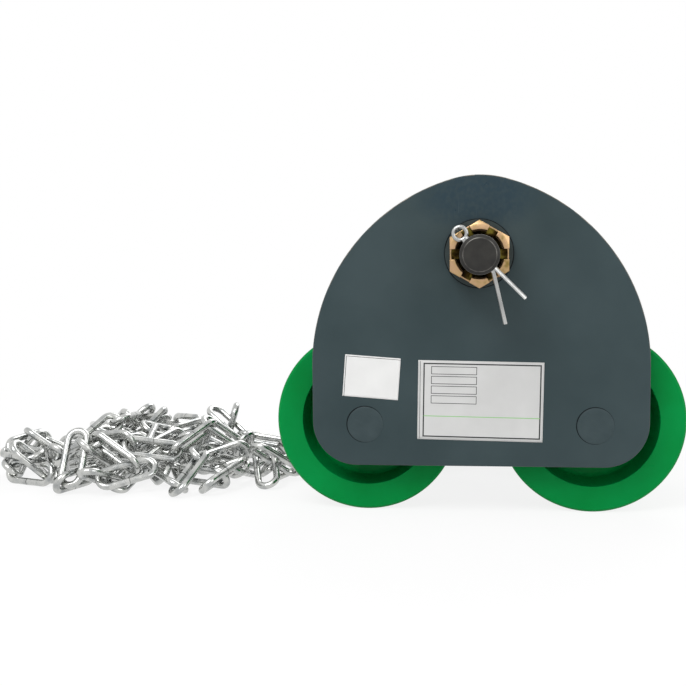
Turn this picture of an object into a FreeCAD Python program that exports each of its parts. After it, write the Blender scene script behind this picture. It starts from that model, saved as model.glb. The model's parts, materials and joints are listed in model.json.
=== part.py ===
import FreeCAD, Part
import math
import os
import random

# Geared beam trolley, in millimetres, set down upside down on its wheel flanges.
# X runs along the beam, Y across it and Z up. The front side plate has negative Y.
# The origin is the middle of the running plane, where the beam flange meets the wheel treads.
# In this pose the beam would lie on top of the treads, below the load bolt.

V = FreeCAD.Vector
ACROSS = V(0, 1, 0)
UP = V(0, 0, 1)
ALONG = V(1, 0, 0)
ZERO = V(0, 0, 0)
FULL_TURN = 360.0
HALF_TURN = 180.0
HEX_SIDES = 6
FRONT = -1
REAR = 1
LEFT = -1
RIGHT = 1

# Overrun of cutting tools past the faces that they cut
overrun = 2.0

# Beam and wheels
beam_width = 108.0
beam_side_gap = 2.0
wheel_base = 147.0
tread_dia = 96.0
tread_width = 29.5
tread_drop = 1.5
tread_chamfer = 2.0
flange_dia = 120.0
flange_thick = 12.0
flange_chamfer = 1.5
flange_root_radius = 3.0
recess_dia = 86.0
recess_depth = 20.0
recess_draft = 3.0
recess_corner = 3.0
wheel_to_plate = 6.5

# Wheel bearing, one to each wheel
bearing_bore = 25.0
bearing_dia = 52.0
bearing_width = 15.0
inner_ring_dia = 34.0
outer_ring_bore = 43.0
ball_dia = 7.9
ball_count = 9
ball_slack = 0.2
outer_race_slack = 0.05
hub_shoulder = 3.0
hub_shoulder_bore = 44.0
ring_thick = 2.0
ring_groove_depth = 1.2
ring_width = 3.4
ring_mouth_angle = 50.0

# Axles
axle_spigot_dia = 23.0
axle_collar_dia = 31.0
axle_tail = 2.0
axle_chamfer = 1.0

# Side plates
plate_thick = 10.0
plate_width = 215.0
plate_corner = 28.5
plate_foot = 27.0
plate_crown_radius = 62.0
plate_shoulder_past = 16.5
plate_top_over_bolt = 49.5

# Load bolt with its nuts, washers and split pins
bolt_dia = 24.0
bolt_over_axles = 110.0
bolt_past_nut = 20.0
bolt_chamfer = 2.0
bolt_hole_slack = 0.25
nut_flats = 36.0
nut_height = 29.5
nut_chamfer_drop = 1.6
nut_mouth_dia = 30.0
nut_mouth_depth = 3.0
nut_slot_width = 6.2
nut_slot_depth = 9.0
washer_dia = 44.0
washer_thick = 4.0
pin_dia = 5.0
pin_hole_slack = 0.15
pin_past_nut = 4.0
pin_angle = 47.0
pin_eye_dia = 10.3
pin_eye_wire = 2.4
pin_long_leg = 31.0
pin_short_leg = 26.0
pin_long_leg_bend = 30.0
pin_short_leg_bend = 2.0
pin_bend_radius = 6.0

# Hanger plate and the spacers beside it
hanger_thick = 16.0
hanger_reach = 75.0
hanger_top_dia = 52.0
hanger_eye_dia = 58.0
hanger_eye_bore = 30.0
hanger_waist = 34.0
hanger_running_gap = 0.075
hanger_side_play = 0.35
spacer_washers = 8
spacer_washer_thick = 4.0
sleeve_dia = 36.0

# Gear teeth on the rear wheels and the pinion between them
tooth_module = 4.0
wheel_teeth = 28
pinion_teeth = 12
pressure_angle = 25.0
tooth_thinning = 0.6
root_share = 1.25
flank_steps = 4
pinion_bore = 20.0
pinion_pocket_dia = 33.0
pinion_pocket_depth = 4.5

# Drive shaft in its tube
shaft_collar_dia = 27.0
shaft_running_gap = 0.05
shaft_end_play = 0.6
shaft_thread_dia = 16.0
shaft_tail = 3.0
key_width = 6.0
key_depth = 3.5
tube_dia = 36.0
tube_bore = 28.0
tube_past_plate = 60.0
bush_length = 20.0
bush_flange = 2.0
tube_flange_thick = 5.0

# Hand chain and its wheel
wire_dia = 5.0
link_inside = 36.0
link_width = 19.0
link_seam = 0.5
pockets = 6
rim_width = 30.0
rim_height = 11.0
rim_floor = 6.0
web_thick = 9.0
hub_dia = 40.0
hub_length = 36.0
chain_side_gap = 1.2
end_washer_dia = 34.0
end_washer_thick = 3.0
end_nut_flats = 24.0
end_nut_height = 13.0

# Chain guide on the tube flange
guide_thick = 3.0
guide_arm_width = 34.0
guide_rim_gap = 3.0
guide_wing_width = 38.0
guide_wing_past = 6.0
guide_slot_width = 22.0
guide_slot_length = 30.0
guide_screw_dia = 6.0
guide_screw_flats = 10.0
guide_screw_head = 4.0
guide_screw_room = 2.5

# The chain's heap on the floor, beside the left wheels
link_count = 90
heap_seed = 2
heap_left = 250.0
heap_y = 41.0
heap_half_length = 112.0
heap_half_depth = 80.0
heap_lap_shares = (0.86, 0.5, 0.72, 0.3, 0.92, 0.6, 0.4, 0.8)
heap_lap_stretch_share = 0.65

# Laying of the heap: trials for each link, its freedom at the joint in degrees, and what counts in a trial
link_gap = 0.3
link_points = 40
link_angles = (60.0, 40.0, 85.0, 60.0)
try_count = 160
patience_count = 6
step_back_count = 14
height_weight = 1.2
target_weight = 0.5
lie_weight = 5.0

# Settling of the heap: rounds, and the largest slip, drop and turn of a link in a round
settle_count = 420
settle_slip = 1.8
settle_drop = 1.8
settle_angle = 6.0
settle_last_share = 0.2
chain_node_count = 3
round_digit_count = 6

heap_x = -heap_left

# Planes across the trolley, measured outwards from its middle
flange_in = beam_width / 2 + beam_side_gap
flange_out = flange_in + flange_thick
tread_in = flange_in - tread_width
recess_floor = flange_out - recess_depth
bearing_out = recess_floor - hub_shoulder
bearing_in = bearing_out - bearing_width
ring_in = bearing_in - ring_thick
plate_in = flange_out + wheel_to_plate
plate_out = plate_in + plate_thick
nut_in = plate_out + washer_thick
nut_out = nut_in + nut_height
bolt_end = nut_out + bolt_past_nut
pin_plane = nut_out + pin_past_nut

# Heights and places along the beam
axle_z = -tread_dia / 2
axle_x = wheel_base / 2
floor_z = axle_z - flange_dia / 2
bolt_z = axle_z + bolt_over_axles
apex_z = bolt_z + plate_top_over_bolt
foot_z = axle_z - plate_foot
plate_shoulder_radius = plate_width / 2 + plate_shoulder_past
wheel_pitch_radius = tooth_module * wheel_teeth / 2
pinion_pitch_radius = tooth_module * pinion_teeth / 2
gear_centres = wheel_pitch_radius + pinion_pitch_radius
pinion_z = axle_z + math.sqrt(gear_centres ** 2 - axle_x ** 2)

# Stations along the drive shaft
tube_end = plate_out + tube_past_plate
hub_in = tube_end + bush_flange + shaft_end_play
hub_out = hub_in + hub_length
rim_mid = (hub_in + hub_out) / 2
end_nut_in = hub_out + end_washer_thick
end_nut_out = end_nut_in + end_nut_height
shaft_end = end_nut_out + shaft_tail
pinion_ring_out = flange_in + pinion_pocket_depth
pinion_ring_in = pinion_ring_out - ring_thick
shaft_start = pinion_ring_in - axle_tail


def corner_wire(corners):
    """Closed wire through (point, radius) corners, rounded where the radius isn't zero."""
    edges = []
    starts = []
    ends = []
    count = len(corners)
    for index in range(count):
        point, radius = corners[index]
        before = (corners[index - 1][0] - point).normalize()
        after = (corners[(index + 1) % count][0] - point).normalize()
        half_angle = before.getAngle(after) / 2
        reach = radius / math.tan(half_angle)
        starts.append(point + before * reach)
        ends.append(point + after * reach)
        if radius > 0:
            inward = (before + after).normalize()
            middle = point + inward * (radius / math.sin(half_angle) - radius)
            edges.append(Part.Arc(starts[-1], middle, ends[-1]).toShape())
        else:
            edges.append(None)
    outline = []
    for index in range(count):
        if edges[index] is not None:
            outline.append(edges[index])
        target = starts[(index + 1) % count]
        if (target - ends[index]).Length > Part.Precision.confusion():
            outline.append(Part.LineSegment(ends[index], target).toShape())
    return Part.Wire(Part.__sortEdges__(outline))


def turned(profile, x=0.0, z=0.0, side=REAR):
    """Solid of revolution about a line along Y through (x, z).

    The profile is a list of (radius, y, corner radius), with y measured outwards."""
    corners = [(V(radius, side * y, 0), rounding) for radius, y, rounding in profile]
    solid = Part.Face(corner_wire(corners)).revolve(ZERO, ACROSS, FULL_TURN)
    solid.translate(V(x, 0, z))
    return solid


def ring(inner_dia, outer_dia, y_in, y_out, x=0.0, z=0.0, side=REAR):
    """Plain ring or, with no inner diameter, a plain disc."""
    inner = inner_dia / 2
    outer = outer_dia / 2
    return turned([(inner, y_in, 0), (outer, y_in, 0), (outer, y_out, 0), (inner, y_out, 0)], x, z, side)


def drilled(shape, dia, y_in, y_out, x, z, side=REAR):
    """The shape with a round hole along Y, cut past both planes."""
    return shape.cut(ring(0, dia, y_in - overrun, y_out + overrun, x, z, side))


def block(size_x, size_y, size_z, centre):
    """Box with its middle at a point."""
    return Part.makeBox(size_x, size_y, size_z, centre - V(size_x, size_y, size_z) * 0.5)


def plate_stock(outline, y_in, y_out, side=REAR):
    """Flat plate across Y from an outline in the XZ plane."""
    face = Part.Face(outline)
    face.translate(ACROSS * (side * y_in))
    return face.extrude(ACROSS * (side * (y_out - y_in)))


def retaining_ring(groove_dia, ring_out, y_in, x, z, side, mouth_turn):
    """Open ring in a groove; its mouth is turned about Y by an angle."""
    band = ring(groove_dia, ring_out, y_in, y_in + ring_thick, x, z, side)
    reach = max(groove_dia, ring_out)
    half_mouth = math.radians(ring_mouth_angle / 2)
    wedge_points = [
        V(0, 0, 0),
        V(reach * math.cos(half_mouth), 0, reach * math.sin(half_mouth)),
        V(reach * math.cos(half_mouth), 0, -reach * math.sin(half_mouth)),
        V(0, 0, 0),
    ]
    wedge = plate_stock(Part.makePolygon(wedge_points), y_in - overrun, y_in + ring_thick + overrun, side)
    wedge.rotate(ZERO, ACROSS, mouth_turn)
    wedge.translate(V(x, 0, z))
    return band.cut(wedge)


def hexagon(flats, y_in, y_out, z, side, drop):
    """Hexagon bar along Y at height z with a point at the top and chamfered outer corners."""
    points_radius = flats / math.sqrt(3)
    corners = []
    for index in range(HEX_SIDES + 1):
        angle = math.pi / 2 + 2 * math.pi * index / HEX_SIDES
        corners.append(V(points_radius * math.cos(angle), 0, points_radius * math.sin(angle)))
    bar = plate_stock(Part.makePolygon(corners), y_in, y_out, side)
    rim = flats / 2
    envelope = turned([(0, y_in, 0), (points_radius, y_in, 0), (points_radius, y_out - drop, 0),
                       (rim, y_out, 0), (0, y_out, 0)], 0, 0, side)
    bar = bar.common(envelope)
    bar.translate(UP * z)
    return bar


def gear_outline(teeth, phase):
    """Closed outline in the XZ plane of an involute gear; phase is one tooth's angle in degrees."""
    pitch_radius = tooth_module * teeth / 2
    base_radius = pitch_radius * math.cos(math.radians(pressure_angle))
    tip_radius = pitch_radius + tooth_module
    root_radius = pitch_radius - root_share * tooth_module
    pitch_roll = math.tan(math.radians(pressure_angle)) - math.radians(pressure_angle)
    pitch_half = (math.pi * tooth_module / 2 - tooth_thinning) / (2 * pitch_radius)
    flank = [(root_radius, None)]
    start_radius = max(base_radius, root_radius)
    for step in range(flank_steps + 1):
        radius = start_radius + (tip_radius - start_radius) * step / flank_steps
        slope = math.acos(min(1.0, base_radius / radius))
        flank.append((radius, pitch_half + pitch_roll - (math.tan(slope) - slope)))
    flank[0] = (root_radius, flank[1][1])
    if start_radius == root_radius:
        flank = flank[1:]
    points = []
    for tooth in range(teeth):
        middle = math.radians(phase) + 2 * math.pi * tooth / teeth
        sides = [(radius, middle - half) for radius, half in flank]
        sides += [(radius, middle + half) for radius, half in reversed(flank)]
        points += [V(radius * math.cos(angle), 0, radius * math.sin(angle)) for radius, angle in sides]
    return Part.makePolygon(points + points[:1])


pinion_phase = 90.0


def wheel_phase(side):
    """Angle of one wheel tooth that puts the wheel in mesh with the pinion at rest."""
    to_wheel = math.degrees(math.atan2(axle_z - pinion_z, side * axle_x))
    to_pinion = to_wheel + HALF_TURN
    pinion_step = FULL_TURN / pinion_teeth
    ahead = (pinion_phase - to_wheel) % pinion_step
    return to_pinion - ahead * pinion_teeth / wheel_teeth + HALF_TURN / wheel_teeth


def side_plate(side):
    """Side plate with a flat foot, two shoulder arcs and a crown arc."""
    half = plate_width / 2
    lean = math.asin((plate_shoulder_radius - half) / (plate_shoulder_radius - plate_crown_radius))
    crown_z = apex_z - plate_crown_radius
    shoulder_x = half - plate_shoulder_radius
    shoulder_z = crown_z - (plate_shoulder_radius - plate_crown_radius) * math.cos(lean)
    middle_angle = (math.pi / 2 - lean) / 2
    blend = V(plate_crown_radius * math.sin(lean), 0, crown_z + plate_crown_radius * math.cos(lean))
    bulge = V(shoulder_x + plate_shoulder_radius * math.cos(middle_angle), 0,
              shoulder_z + plate_shoulder_radius * math.sin(middle_angle))
    diagonal = plate_corner * (1 - math.sqrt(0.5))
    corner = V(half - diagonal, 0, foot_z + diagonal)
    corner_low = V(half - plate_corner, 0, foot_z)
    corner_high = V(half, 0, foot_z + plate_corner)
    side_top = V(half, 0, shoulder_z)

    def flip(point):
        return V(-point.x, 0, point.z)

    edges = [
        Part.LineSegment(flip(corner_low), corner_low),
        Part.Arc(corner_low, corner, corner_high),
        Part.LineSegment(corner_high, side_top),
        Part.Arc(side_top, bulge, blend),
        Part.Arc(blend, V(0, 0, apex_z), flip(blend)),
        Part.Arc(flip(blend), flip(bulge), flip(side_top)),
        Part.LineSegment(flip(side_top), flip(corner_high)),
        Part.Arc(flip(corner_high), flip(corner), flip(corner_low)),
    ]
    plate = plate_stock(Part.Wire([edge.toShape() for edge in edges]), plate_in, plate_out, side)
    for x in (-axle_x, axle_x):
        plate = drilled(plate, axle_spigot_dia, plate_in, plate_out, x, axle_z, side)
    plate = drilled(plate, bolt_dia + 2 * bolt_hole_slack, plate_in, plate_out, 0, bolt_z, side)
    if side == REAR:
        plate = drilled(plate, tube_dia, plate_in, plate_out, 0, pinion_z, side)
    return plate


def wheel(side, end):
    """Flanged wheel with a tapered tread, a deep recess and a bearing seat; geared at the rear."""
    tread = tread_dia / 2
    flange = flange_dia / 2
    seat = bearing_dia / 2
    groove = seat + ring_groove_depth
    shoulder = hub_shoulder_bore / 2
    recess = recess_dia / 2
    profile = [
        (seat, tread_in, 0),
        (tread - tread_drop - tread_chamfer, tread_in, 0),
        (tread - tread_drop, tread_in + tread_chamfer, 0),
        (tread, flange_in, flange_root_radius),
        (flange - flange_chamfer, flange_in, 0),
        (flange, flange_in + flange_chamfer, 0),
        (flange, flange_out - flange_chamfer, 0),
        (flange - flange_chamfer, flange_out, 0),
        (recess, flange_out, 0),
        (recess - recess_draft, recess_floor, recess_corner),
        (shoulder, recess_floor, 0),
        (shoulder, bearing_out, 0),
        (seat, bearing_out, 0),
        (seat, bearing_in, 0),
        (groove, bearing_in, 0),
        (groove, ring_in, 0),
        (seat, ring_in, 0),
    ]
    body = turned(profile, end * axle_x, axle_z, side)
    if side == REAR:
        spaces = plate_stock(gear_outline(wheel_teeth, wheel_phase(end)),
                             flange_in - overrun, flange_out + overrun, side)
        spaces.translate(V(end * axle_x, 0, axle_z))
        band = ring(tread_dia, flange_dia + overrun, flange_in - overrun, flange_out + overrun,
                    end * axle_x, axle_z, side)
        body = body.cut(band.cut(spaces))
    return body


def axle(side, end):
    """Stub axle, flush in its plate, with a collar up to the bearing."""
    spigot = axle_spigot_dia / 2
    collar = axle_collar_dia / 2
    journal = bearing_bore / 2
    groove = journal - ring_groove_depth
    tail = ring_in - axle_tail
    profile = [
        (0, tail, 0),
        (journal - axle_chamfer, tail, 0),
        (journal, tail + axle_chamfer, 0),
        (journal, ring_in, 0),
        (groove, ring_in, 0),
        (groove, bearing_in, 0),
        (journal, bearing_in, 0),
        (journal, bearing_out, 0),
        (collar, bearing_out, 0),
        (collar, plate_in, 0),
        (spigot, plate_in, 0),
        (spigot, plate_out, 0),
        (0, plate_out, 0),
    ]
    return turned(profile, end * axle_x, axle_z, side)


bearing_mid = (bearing_in + bearing_out) / 2
ball_circle = (bearing_bore + bearing_dia) / 4


def race(side, end, slack):
    """Torus that grooves a bearing ring for its balls."""
    groove = Part.makeTorus(ball_circle, ball_dia / 2 + slack, V(0, side * bearing_mid, 0), ACROSS)
    groove.translate(V(end * axle_x, 0, axle_z))
    return groove


def inner_ring(side, end):
    blank = ring(bearing_bore, inner_ring_dia, bearing_in, bearing_out, end * axle_x, axle_z, side)
    return blank.cut(race(side, end, ball_slack))


def outer_ring(side, end):
    blank = ring(outer_ring_bore, bearing_dia, bearing_in, bearing_out, end * axle_x, axle_z, side)
    return blank.cut(race(side, end, outer_race_slack))


def balls(side, end):
    """The bearing's balls, spaced evenly."""
    solids = []
    for index in range(ball_count):
        angle = 2 * math.pi * index / ball_count
        place = V(end * axle_x + ball_circle * math.cos(angle), side * bearing_mid,
                  axle_z + ball_circle * math.sin(angle))
        solids.append(Part.makeSphere(ball_dia / 2, place))
    return Part.makeCompound(solids)


def load_bolt():
    """Round bar with chamfered ends, cross drilled for the split pins."""
    radius = bolt_dia / 2
    half = [(radius, bolt_end - bolt_chamfer), (radius - bolt_chamfer, bolt_end)]
    profile = [(0, -bolt_end, 0), (half[1][0], -half[1][1], 0), (half[0][0], -half[0][1], 0),
               (half[0][0], half[0][1], 0), (half[1][0], half[1][1], 0), (0, bolt_end, 0)]
    bolt = turned(profile, 0, bolt_z)
    for side in (FRONT, REAR):
        hole = Part.makeCylinder(pin_dia / 2 + pin_hole_slack, bolt_dia + 2 * overrun,
                                 V(0, 0, -radius - overrun), UP)
        bolt = bolt.cut(pin_place(hole, side))
    return bolt


def pin_place(shape, side):
    """Moves a shape made along Z at the origin to a split pin's hole, its top end to the upper left."""
    shape.rotate(ZERO, ACROSS, pin_angle - FULL_TURN / 4)
    shape.translate(V(0, side * pin_plane, bolt_z))
    return shape


def slotted_nut(side):
    """Hexagon nut with six slots at the middle of its flats and a countersunk mouth."""
    nut = hexagon(nut_flats, nut_in, nut_out, bolt_z, side, nut_chamfer_drop)
    nut = drilled(nut, bolt_dia, nut_in, nut_out, 0, bolt_z, side)
    bore = bolt_dia / 2
    mouth = nut_mouth_dia / 2
    nut = nut.cut(turned([(0, nut_out - nut_mouth_depth, 0), (bore, nut_out - nut_mouth_depth, 0),
                          (mouth, nut_out, 0), (mouth, nut_out + overrun, 0), (0, nut_out + overrun, 0)],
                         0, bolt_z, side))
    for index in range(3):
        slot = block(nut_flats + 2 * overrun, nut_slot_depth + overrun, nut_slot_width,
                     V(0, side * (nut_out + (overrun - nut_slot_depth) / 2), 0))
        slot.rotate(ZERO, ACROSS, HALF_TURN / 3 * index)
        slot.translate(UP * bolt_z)
        nut = nut.cut(slot)
    return nut


def half_round_leg(length, bend, side_sign):
    """One leg of a split pin: half round wire down the hole, then bent outwards and straight on."""
    radius = pin_dia / 2
    top = bolt_dia / 2
    turn = math.radians(bend)
    arc_end = V(side_sign * pin_bend_radius * (1 - math.cos(turn)), 0,
                -top - pin_bend_radius * math.sin(turn))
    arc_middle = V(side_sign * pin_bend_radius * (1 - math.cos(turn / 2)), 0,
                   -top - pin_bend_radius * math.sin(turn / 2))
    leg_end = arc_end + V(side_sign * math.sin(turn), 0, -math.cos(turn)) * length
    path = Part.Wire([
        Part.LineSegment(V(0, 0, top), V(0, 0, -top)).toShape(),
        Part.Arc(V(0, 0, -top), arc_middle, arc_end).toShape(),
        Part.LineSegment(arc_end, leg_end).toShape(),
    ])
    section = Part.Wire([
        Part.Arc(V(0, -radius, top), V(side_sign * radius, 0, top), V(0, radius, top)).toShape(),
        Part.LineSegment(V(0, radius, top), V(0, -radius, top)).toShape(),
    ])
    return path.makePipeShell([section], True, False)


def split_pin(side):
    """Split pin with a round eye at the upper left and two spread legs at the lower right."""
    eye_radius = (pin_eye_dia - pin_eye_wire) / 2
    eye = Part.makeTorus(eye_radius, pin_eye_wire / 2, V(0, 0, bolt_dia / 2 + pin_eye_dia / 2), ACROSS)
    left = half_round_leg(pin_long_leg, pin_long_leg_bend, -1)
    right = half_round_leg(pin_short_leg, pin_short_leg_bend, 1)
    neck = Part.makeCylinder(pin_dia / 2, pin_eye_wire, V(0, 0, bolt_dia / 2 - pin_eye_wire / 2), UP)
    return pin_place(left.fuse([right, neck, eye]).removeSplitter(), side)


def spacer_stack(side):
    """Sleeve next to the hanger and adjusting washers out to the plate."""
    first = plate_in - spacer_washers * spacer_washer_thick
    start = hanger_thick / 2 + hanger_side_play
    solids = [ring(bolt_dia, sleeve_dia, start, first, 0, bolt_z, side)]
    for index in range(spacer_washers):
        y_in = first + index * spacer_washer_thick
        solids.append(ring(bolt_dia, washer_dia, y_in, y_in + spacer_washer_thick, 0, bolt_z, side))
    return Part.makeCompound(solids)


def hanger():
    """Hanger plate hanging from the load bolt, with a waist between its two rounded ends."""
    half = hanger_thick / 2
    eye_z = bolt_z - hanger_reach
    top = ring(0, hanger_top_dia, -half, half, 0, bolt_z)
    eye = ring(0, hanger_eye_dia, -half, half, 0, eye_z)
    waist = block(hanger_waist, hanger_thick, hanger_reach, V(0, 0, bolt_z - hanger_reach / 2))
    plate = top.fuse([eye, waist]).removeSplitter()
    plate = drilled(plate, bolt_dia + 2 * hanger_running_gap, -half, half, 0, bolt_z)
    return drilled(plate, hanger_eye_bore, -half, half, 0, eye_z)


def key_block(y_in, y_out):
    """Parallel key on top of the drive shaft, sunk by half of its height."""
    seat_z = pinion_z + pinion_bore / 2
    return block(key_width, y_out - y_in, 2 * key_depth, V(0, (y_in + y_out) / 2, seat_z))


pinion_key_in = pinion_ring_out + axle_chamfer
pinion_key_out = flange_out
wheel_key_in = hub_in + bush_flange
wheel_key_out = hub_out - bush_flange


def pinion():
    """Twelve tooth pinion with a pocket for its retaining ring and a keyway."""
    body = plate_stock(gear_outline(pinion_teeth, pinion_phase), flange_in, flange_out)
    body.translate(UP * pinion_z)
    body = drilled(body, pinion_bore, flange_in, flange_out, 0, pinion_z)
    body = body.cut(ring(0, pinion_pocket_dia, flange_in - overrun, pinion_ring_out, 0, pinion_z))
    return body.cut(key_block(pinion_key_in, pinion_key_out))


def drive_shaft():
    """Stepped shaft: pinion seat, collar, long journal with the chain wheel seat, threaded end."""
    journal = pinion_bore / 2
    collar = shaft_collar_dia / 2
    groove = journal - ring_groove_depth
    thread = shaft_thread_dia / 2
    collar_end = plate_in - shaft_end_play
    profile = [
        (0, shaft_start, 0),
        (journal - axle_chamfer, shaft_start, 0),
        (journal, shaft_start + axle_chamfer, 0),
        (journal, pinion_ring_in, 0),
        (groove, pinion_ring_in, 0),
        (groove, pinion_ring_out, 0),
        (journal, pinion_ring_out, 0),
        (journal, flange_out, 0),
        (collar, flange_out, 0),
        (collar, collar_end, 0),
        (journal, collar_end, 0),
        (journal, hub_out, 0),
        (thread, hub_out, 0),
        (thread, shaft_end - axle_chamfer, 0),
        (thread - axle_chamfer, shaft_end, 0),
        (0, shaft_end, 0),
    ]
    shaft = turned(profile, 0, pinion_z)
    shaft = shaft.cut(key_block(pinion_key_in, pinion_key_out))
    return shaft.cut(key_block(wheel_key_in, wheel_key_out))


screw_x = tube_dia / 2 + guide_screw_room + guide_screw_flats / 2
screw_places = [V(side * screw_x, 0, 0) for side in (LEFT, RIGHT)]
tube_flange_dia = tube_dia + 2 * (guide_screw_flats + 2 * guide_screw_room)
guide_in = tube_end - bush_flange - guide_thick
guide_out = guide_in + guide_thick
tube_flange_in = guide_in - tube_flange_thick


def shaft_tube():
    """Tube through the rear plate, with a flange for the chain guide."""
    tube = ring(0, tube_dia, plate_in, tube_end, 0, pinion_z)
    tube = tube.fuse(ring(0, tube_flange_dia, tube_flange_in, guide_in, 0, pinion_z)).removeSplitter()
    tube = drilled(tube, tube_bore, plate_in, tube_end, 0, pinion_z)
    for place in screw_places:
        tube = drilled(tube, guide_screw_dia, tube_flange_in, guide_in, place.x, pinion_z)
    return tube


def shaft_bushes():
    """Plain bush at the plate and flanged bush at the outer end of the tube."""
    bore = pinion_bore / 2 + shaft_running_gap
    seat = tube_bore / 2
    lip = tube_dia / 2
    plain = ring(2 * bore, tube_bore, plate_in, plate_in + bush_length, 0, pinion_z)
    flanged = turned([(bore, tube_end - bush_length, 0), (seat, tube_end - bush_length, 0),
                      (seat, tube_end, 0), (lip, tube_end, 0), (lip, tube_end + bush_flange, 0),
                      (bore, tube_end + bush_flange, 0)], 0, pinion_z)
    return Part.makeCompound([plain, flanged])


quarter_pocket = math.pi / (2 * pockets)
chain_circle = math.hypot(link_inside / math.sin(quarter_pocket), wire_dia / math.cos(quarter_pocket))
rim_dia = chain_circle + 2 * rim_height
slot_x = chain_circle / 2
wing_in_x = slot_x - guide_wing_width / 2
wing_out_x = slot_x + guide_wing_width / 2
guide_rise = guide_thick + math.sqrt((rim_dia / 2 + guide_rim_gap) ** 2 - wing_in_x ** 2)


def chain_wheel():
    """Pocket wheel: flat links lie in the pockets and upright links in the groove between them."""
    hub = hub_dia / 2
    bore = pinion_bore / 2
    rim = rim_dia / 2
    rim_in = rim_mid - rim_width / 2
    rim_out = rim_mid + rim_width / 2
    web_in = rim_mid - web_thick / 2
    web_out = rim_mid + web_thick / 2
    groove_half = wire_dia / 2 + chain_side_gap
    groove_floor = chain_circle / 2 - link_width / 2 - chain_side_gap
    rim_inside = groove_floor - rim_floor
    profile = [
        (bore, hub_in, 0), (hub, hub_in, 0), (hub, web_in, recess_corner),
        (rim_inside, web_in, recess_corner), (rim_inside, rim_in, 0), (rim, rim_in, 0),
        (rim, rim_mid - groove_half, 0), (groove_floor, rim_mid - groove_half, 0),
        (groove_floor, rim_mid + groove_half, 0), (rim, rim_mid + groove_half, 0),
        (rim, rim_out, 0), (rim_inside, rim_out, 0), (rim_inside, web_out, recess_corner),
        (hub, web_out, recess_corner), (hub, hub_out, 0), (bore, hub_out, 0),
    ]
    body = turned(profile, 0, pinion_z)
    link_level = chain_circle / 2 * math.cos(quarter_pocket)
    pocket_floor = link_level - wire_dia / 2 - chain_side_gap / 2
    pocket_top = rim + overrun
    pocket_length = link_inside + 2 * wire_dia + 2 * chain_side_gap
    pocket_width = link_width + 2 * chain_side_gap
    for index in range(pockets):
        pocket = block(pocket_length, pocket_width, pocket_top - pocket_floor,
                       V(0, rim_mid, (pocket_floor + pocket_top) / 2))
        pocket.rotate(ZERO, ACROSS, FULL_TURN * (2 * index + 1) / (2 * pockets))
        pocket.translate(UP * pinion_z)
        body = body.cut(pocket)
    return body.cut(key_block(wheel_key_in, wheel_key_out))


def chain_wheel_nut():
    nut = hexagon(end_nut_flats, end_nut_in, end_nut_out, pinion_z, REAR, nut_chamfer_drop)
    return drilled(nut, shaft_thread_dia, end_nut_in, end_nut_out, 0, pinion_z)


def chain_guide():
    """Plate on the tube flange with two arms, bent over at the top into slotted wings."""
    wing_end = rim_mid + rim_width / 2 + guide_wing_past
    half_arm = guide_arm_width / 2
    disc = ring(0, tube_flange_dia, guide_in, guide_out, 0, pinion_z)
    solids = []
    for side in (LEFT, RIGHT):
        corners = [V(0, 0, -half_arm), V(side * half_arm, 0, -half_arm),
                   V(side * wing_out_x, 0, guide_rise - half_arm), V(side * wing_out_x, 0, guide_rise),
                   V(side * wing_in_x, 0, guide_rise), V(0, 0, half_arm)]
        arm = plate_stock(Part.makePolygon(corners + corners[:1]), guide_in, guide_out)
        arm.translate(UP * pinion_z)
        wing_depth = wing_end - guide_in
        wing = block(guide_wing_width, wing_depth, guide_thick,
                     V(side * slot_x, guide_in + wing_depth / 2, pinion_z + guide_rise - guide_thick / 2))
        slot = block(guide_slot_width, guide_slot_length, guide_thick + 2 * overrun,
                     V(side * slot_x, rim_mid, pinion_z + guide_rise - guide_thick / 2))
        solids += [arm, wing.cut(slot)]
    plate = disc.fuse(solids).removeSplitter()
    plate = drilled(plate, tube_dia, guide_in, guide_out, 0, pinion_z)
    for place in screw_places:
        plate = drilled(plate, guide_screw_dia, guide_in, guide_out, place.x, pinion_z)
    return plate


def guide_screws():
    """Two hexagon screws through the guide into the tube flange."""
    solids = []
    for place in screw_places:
        head = hexagon(guide_screw_flats, guide_out, guide_out + guide_screw_head, 0, REAR, axle_chamfer)
        shank = ring(0, guide_screw_dia, tube_flange_in, guide_out, 0, 0)
        screw = head.fuse(shank).removeSplitter()
        screw.translate(V(place.x, 0, pinion_z))
        solids.append(screw)
    return Part.makeCompound(solids)


# One link's centre line is a straight-sided oval, lying along X and Z about its own middle
link_radius = (link_width - wire_dia) / 2
link_half = link_inside / 2 + wire_dia / 2
link_straight = link_half - link_radius


def link_solid():
    """Bent wire link with a butt seam in the middle of one long side."""
    seam = link_seam / 2
    r = link_radius
    s = link_straight
    path = Part.Wire([
        Part.LineSegment(V(seam, 0, r), V(s, 0, r)).toShape(),
        Part.Arc(V(s, 0, r), V(s + r, 0, 0), V(s, 0, -r)).toShape(),
        Part.LineSegment(V(s, 0, -r), V(-s, 0, -r)).toShape(),
        Part.Arc(V(-s, 0, -r), V(-s - r, 0, 0), V(-s, 0, r)).toShape(),
        Part.LineSegment(V(-s, 0, r), V(-seam, 0, r)).toShape(),
    ])
    section = Part.Wire(Part.makeCircle(wire_dia / 2, V(seam, 0, r), ALONG))
    return path.makePipeShell([section], True, False)


def oval_points():
    """Points at even steps round one link's centre line, as (along, across)."""
    straight = 2 * link_straight
    bend = math.pi * link_radius
    lap = 2 * (straight + bend)
    points = []
    for index in range(link_points):
        run = lap * index / link_points
        turn_back = 1 if run < lap / 2 else -1
        run = run % (lap / 2)
        if run < straight:
            along, across = run - link_straight, link_radius
        else:
            angle = (run - straight) / link_radius
            along, across = link_straight + link_radius * math.sin(angle), link_radius * math.cos(angle)
        points.append((turn_back * along, turn_back * across))
    return points


OVAL = oval_points()


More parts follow.
